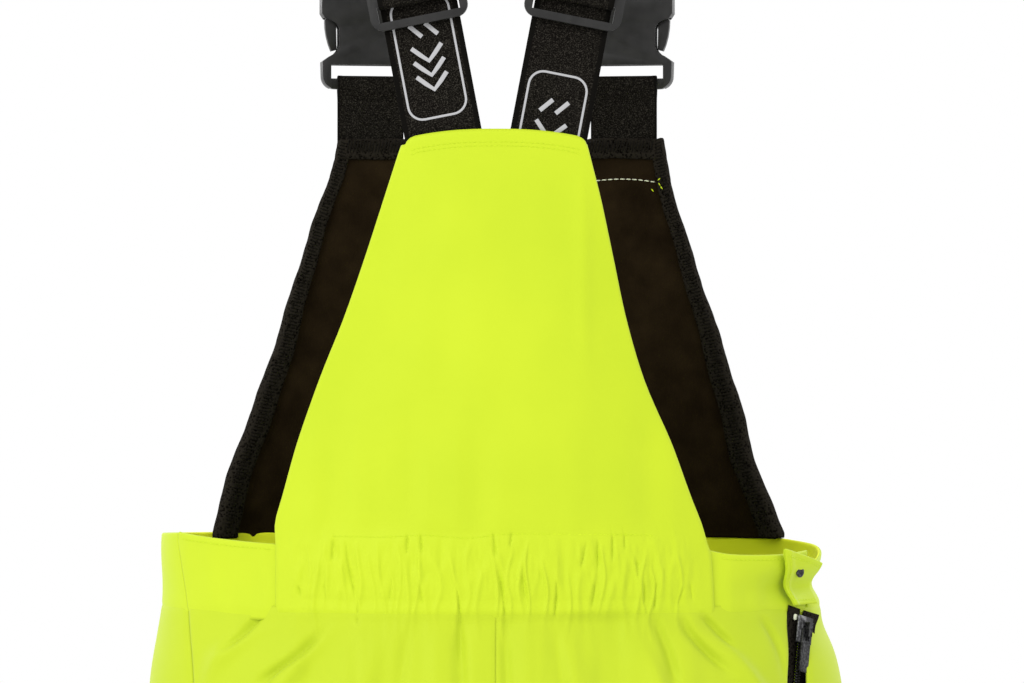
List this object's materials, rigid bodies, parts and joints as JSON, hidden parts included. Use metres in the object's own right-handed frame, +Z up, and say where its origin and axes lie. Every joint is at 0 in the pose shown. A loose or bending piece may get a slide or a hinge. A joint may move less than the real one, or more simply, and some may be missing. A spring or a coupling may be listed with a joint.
{
  "type": "chainsaw bib trousers",
  "caption": "Hi-vis bib-and-brace trousers for chainsaw work in their worn shape, with elastic braces, adjusters, side-release buckles, a gathered back waist and a side zip.",
  "frame": {"origin": "on the ground under the middle of the garment, which stands on its two trouser hems", "axes": "+Z up, +Y the way the wearer faces, +X to the wearer's right"},
  "size_m": [0.472, 0.248, 1.517],
  "materials": {
    "hi_vis_shell": "fluorescent yellow woven polyester, matt with a slight sheen",
    "bib_lining": "black woven lining, matt",
    "edge_binding": "black knitted binding, fuzzy",
    "webbing": "black woven elastic and webbing, ribbed",
    "reinforcement": "black coarse-woven abrasion fabric",
    "zip_tape": "black woven zip tape",
    "zip_teeth": "black moulded teeth",
    "saw_padding": "layered cut-retardant fibre in a thin cover",
    "reflective_tape": "silver retroreflective tape",
    "buckle_plastic": "black moulded acetal, satin",
    "dark_metal": "dark lacquered metal, satin"
  },
  "bodies": {
    "garment": {"ankle_patch_left": "reinforcement", "ankle_patch_right": "reinforcement", "back_bib": "hi_vis_shell", "bib_side_binding_left": "edge_binding", "bib_side_binding_right": "edge_binding", "bib_top_binding": "edge_binding", "bib_webbing_left": "webbing", "bib_webbing_right": "webbing", "brace_back_run_left": "webbing", "brace_back_run_right": "webbing", "brace_shoulder_run_left": "webbing", "brace_shoulder_run_right": "webbing", "buckle_socket_left": "buckle_plastic", "buckle_socket_right": "buckle_plastic", "chest_pocket": "hi_vis_shell", "elastic_casing": "hi_vis_shell", "front_bib_lining": "bib_lining", "front_bib_shell": "hi_vis_shell", "hem_left": "hi_vis_shell", "hem_right": "hi_vis_shell", "knee_patch_left": "reinforcement", "knee_patch_right": "reinforcement", "reflective_band_lower_left": "reflective_tape", "reflective_band_lower_right": "reflective_tape", "reflective_band_upper_left": "reflective_tape", "reflective_band_upper_right": "reflective_tape", "saw_pad_left": "saw_padding", "saw_pad_right": "saw_padding", "side_zip_bottom_stop": "dark_metal", "side_zip_tape_back": "zip_tape", "side_zip_tape_front": "zip_tape", "side_zip_teeth_back": "zip_teeth", "side_zip_teeth_front": "zip_teeth", "stud_post": "dark_metal", "trouser_back_left": "hi_vis_shell", "trouser_back_right": "hi_vis_shell", "trouser_front_left": "hi_vis_shell", "trouser_front_right": "hi_vis_shell", "waist_elastic": "webbing", "waistband_back_left": "hi_vis_shell", "waistband_back_right": "hi_vis_shell", "waistband_front": "hi_vis_shell"},
    "adjuster_left": {"adjuster_left": "buckle_plastic", "brace_return_ply_left": "webbing"},
    "plug_left": {"buckle_plug_left": "buckle_plastic", "brace_front_run_left": "webbing"},
    "arm_outer_left": {"buckle_arm_outer_left": "buckle_plastic"},
    "arm_inner_left": {"buckle_arm_inner_left": "buckle_plastic"},
    "adjuster_right": {"adjuster_right": "buckle_plastic", "brace_return_ply_right": "webbing"},
    "plug_right": {"buckle_plug_right": "buckle_plastic", "brace_front_run_right": "webbing"},
    "arm_outer_right": {"buckle_arm_outer_right": "buckle_plastic"},
    "arm_inner_right": {"buckle_arm_inner_right": "buckle_plastic"},
    "zip_slider": {"side_zip_slider": "dark_metal"},
    "zip_pull": {"side_zip_pull": "dark_metal"},
    "waist_tab": {"waist_tab": "hi_vis_shell", "stud_cap": "dark_metal"},
    "pocket_flap": {"chest_pocket_flap": "hi_vis_shell"}
  },
  "joints": [
    {"name": "adjuster_left", "type": "slide", "parent": "garment", "child": "adjuster_left", "axis": [-0.1865, 0.018, 0.9823], "range_m": [-0.06, 0.02], "deforming": ["brace_return_ply_left"]},
    {"name": "buckle_left", "type": "slide", "parent": "garment", "child": "plug_left", "axis": [0, 0, 1], "range_m": [0, 0.045], "deforming": ["brace_shoulder_run_left"]},
    {"name": "squeeze_outer_left", "type": "hinge", "parent": "plug_left", "child": "arm_outer_left", "pos_m": [-0.1101, 0.0896, 1.412], "axis": [0.1736, -0.9848, 0], "range_deg": [0, 12], "stiffness_Nm_per_rad": 0.2},
    {"name": "squeeze_inner_left", "type": "hinge", "parent": "plug_left", "child": "arm_inner_left", "pos_m": [-0.0579, 0.0988, 1.412], "axis": [-0.1736, 0.9848, 0], "range_deg": [0, 12], "stiffness_Nm_per_rad": 0.2},
    {"name": "adjuster_right", "type": "slide", "parent": "garment", "child": "adjuster_right", "axis": [0.1865, 0.018, 0.9823], "range_m": [-0.06, 0.02], "deforming": ["brace_return_ply_right"]},
    {"name": "buckle_right", "type": "slide", "parent": "garment", "child": "plug_right", "axis": [0, 0, 1], "range_m": [0, 0.045], "deforming": ["brace_shoulder_run_right"]},
    {"name": "squeeze_outer_right", "type": "hinge", "parent": "plug_right", "child": "arm_outer_right", "pos_m": [0.1101, 0.0896, 1.412], "axis": [0.1736, 0.9848, 0], "range_deg": [0, 12], "stiffness_Nm_per_rad": 0.2},
    {"name": "squeeze_inner_right", "type": "hinge", "parent": "plug_right", "child": "arm_inner_right", "pos_m": [0.0579, 0.0988, 1.412], "axis": [-0.1736, -0.9848, 0], "range_deg": [0, 12], "stiffness_Nm_per_rad": 0.2},
    {"name": "side_zip", "type": "slide", "parent": "garment", "child": "zip_slider", "axis": [-0.109, -0.2501, -0.9621], "range_m": [0, 0.134]},
    {"name": "zip_pull", "type": "hinge", "parent": "zip_slider", "child": "zip_pull", "pos_m": [0.19541, -0.0469, 1.00343], "axis": [-0.6985, -0.6694, 0.2532], "range_deg": [0, 150]},
    {"name": "waist_tab", "type": "hinge", "parent": "garment", "child": "waist_tab", "pos_m": [0.2075, -0.0323, 1.04], "axis": [0, 0, 1], "range_deg": [0, 90]},
    {"name": "pocket_flap", "type": "hinge", "parent": "garment", "child": "pocket_flap", "pos_m": [0.0253, 0.108, 1.292], "axis": [0.9985, -0.055, 0], "range_deg": [0, 150]}
  ],
  "couplings": [
    {"joint": "squeeze_inner_left", "follows": "squeeze_outer_left", "ratio": 1},
    {"joint": "squeeze_inner_right", "follows": "squeeze_outer_right", "ratio": 1}
  ]
}
